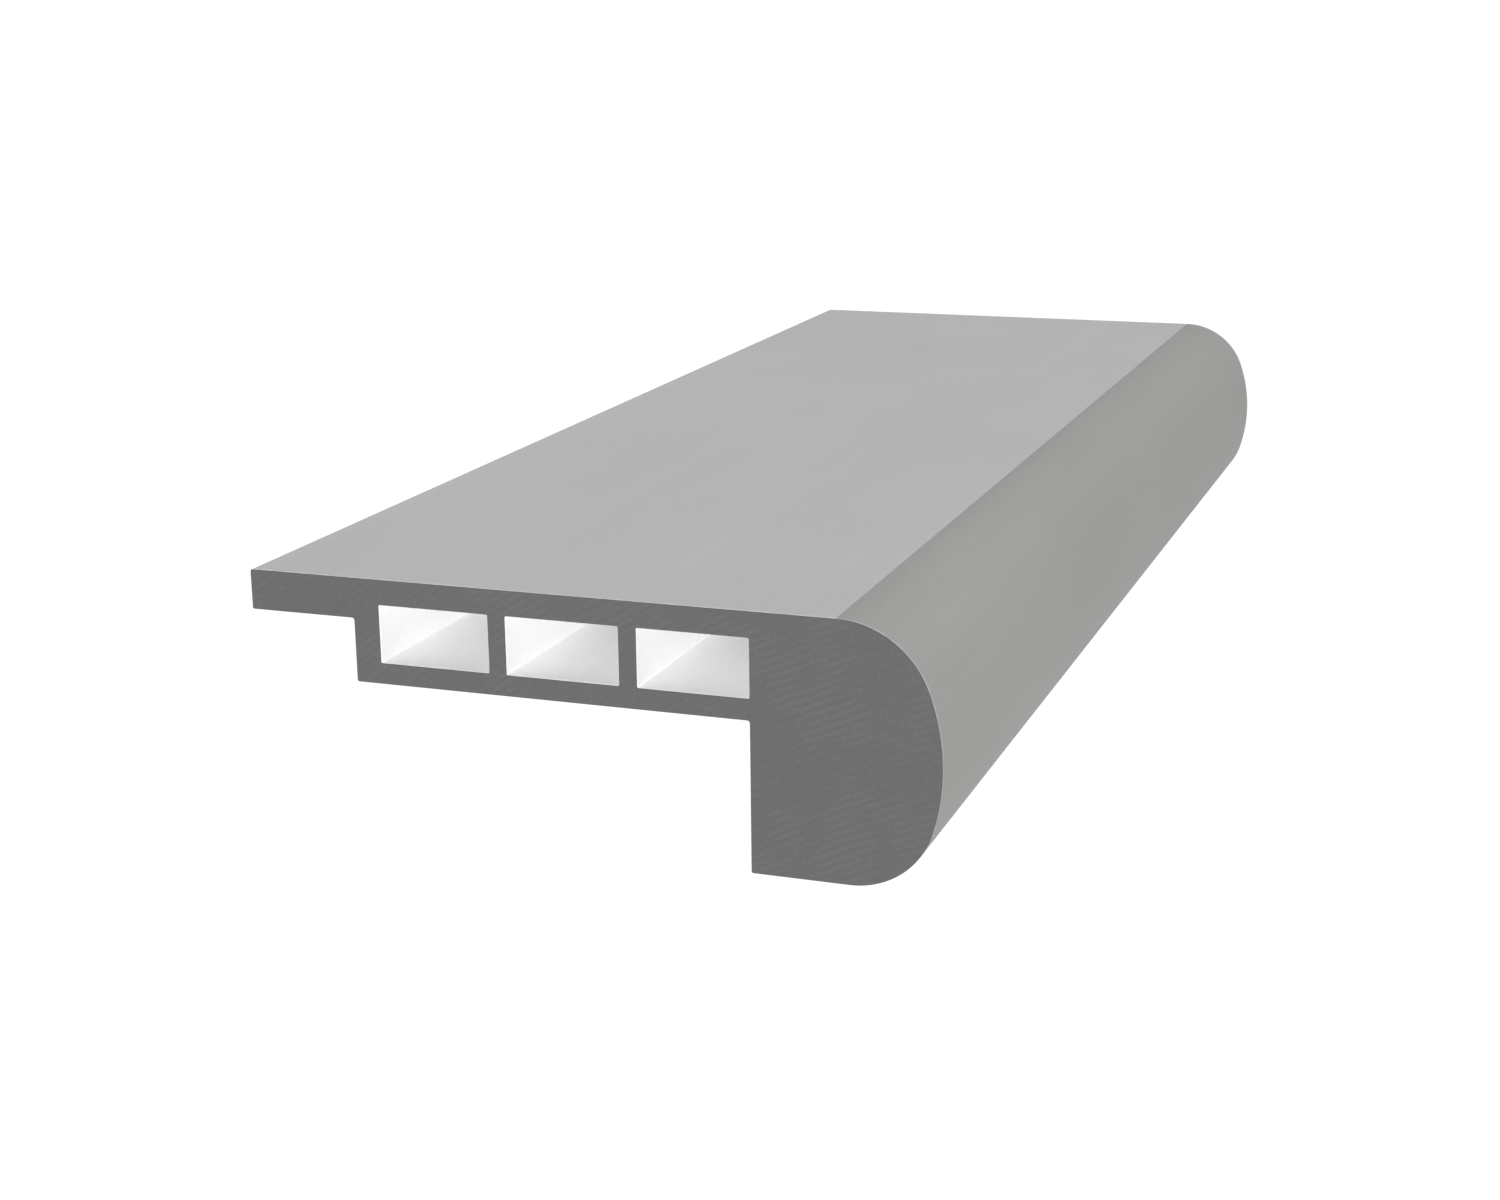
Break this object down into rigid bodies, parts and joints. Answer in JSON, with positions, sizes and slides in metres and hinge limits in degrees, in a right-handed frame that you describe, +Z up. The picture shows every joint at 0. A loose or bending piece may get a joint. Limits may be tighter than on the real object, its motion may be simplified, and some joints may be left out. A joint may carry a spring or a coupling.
{
  "type": "stair nosing",
  "caption": "Cut length of hollow extruded overlap stair nosing: a flat tread leaf with a rear lip over a row of cells, ending in a deep rounded bullnose that covers the edge of a step.",
  "frame": {"origin": "bottom centre of the bounding box, on the floor that the piece lies on", "axes": "+X along the length, -Y towards the rounded nose, +Z up, with the piece leaning back on its heel and the rear edge of its hollow box as it does when it lies loose"},
  "size_m": [0.1834, 0.0716, 0.0271],
  "materials": {
    "profile": "plain light grey extruded rigid plastic with a fine matt skin, and darker sawn ends"
  },
  "bodies": {
    "root": {"stair_nosing": "profile"}
  },
  "joints": []
}
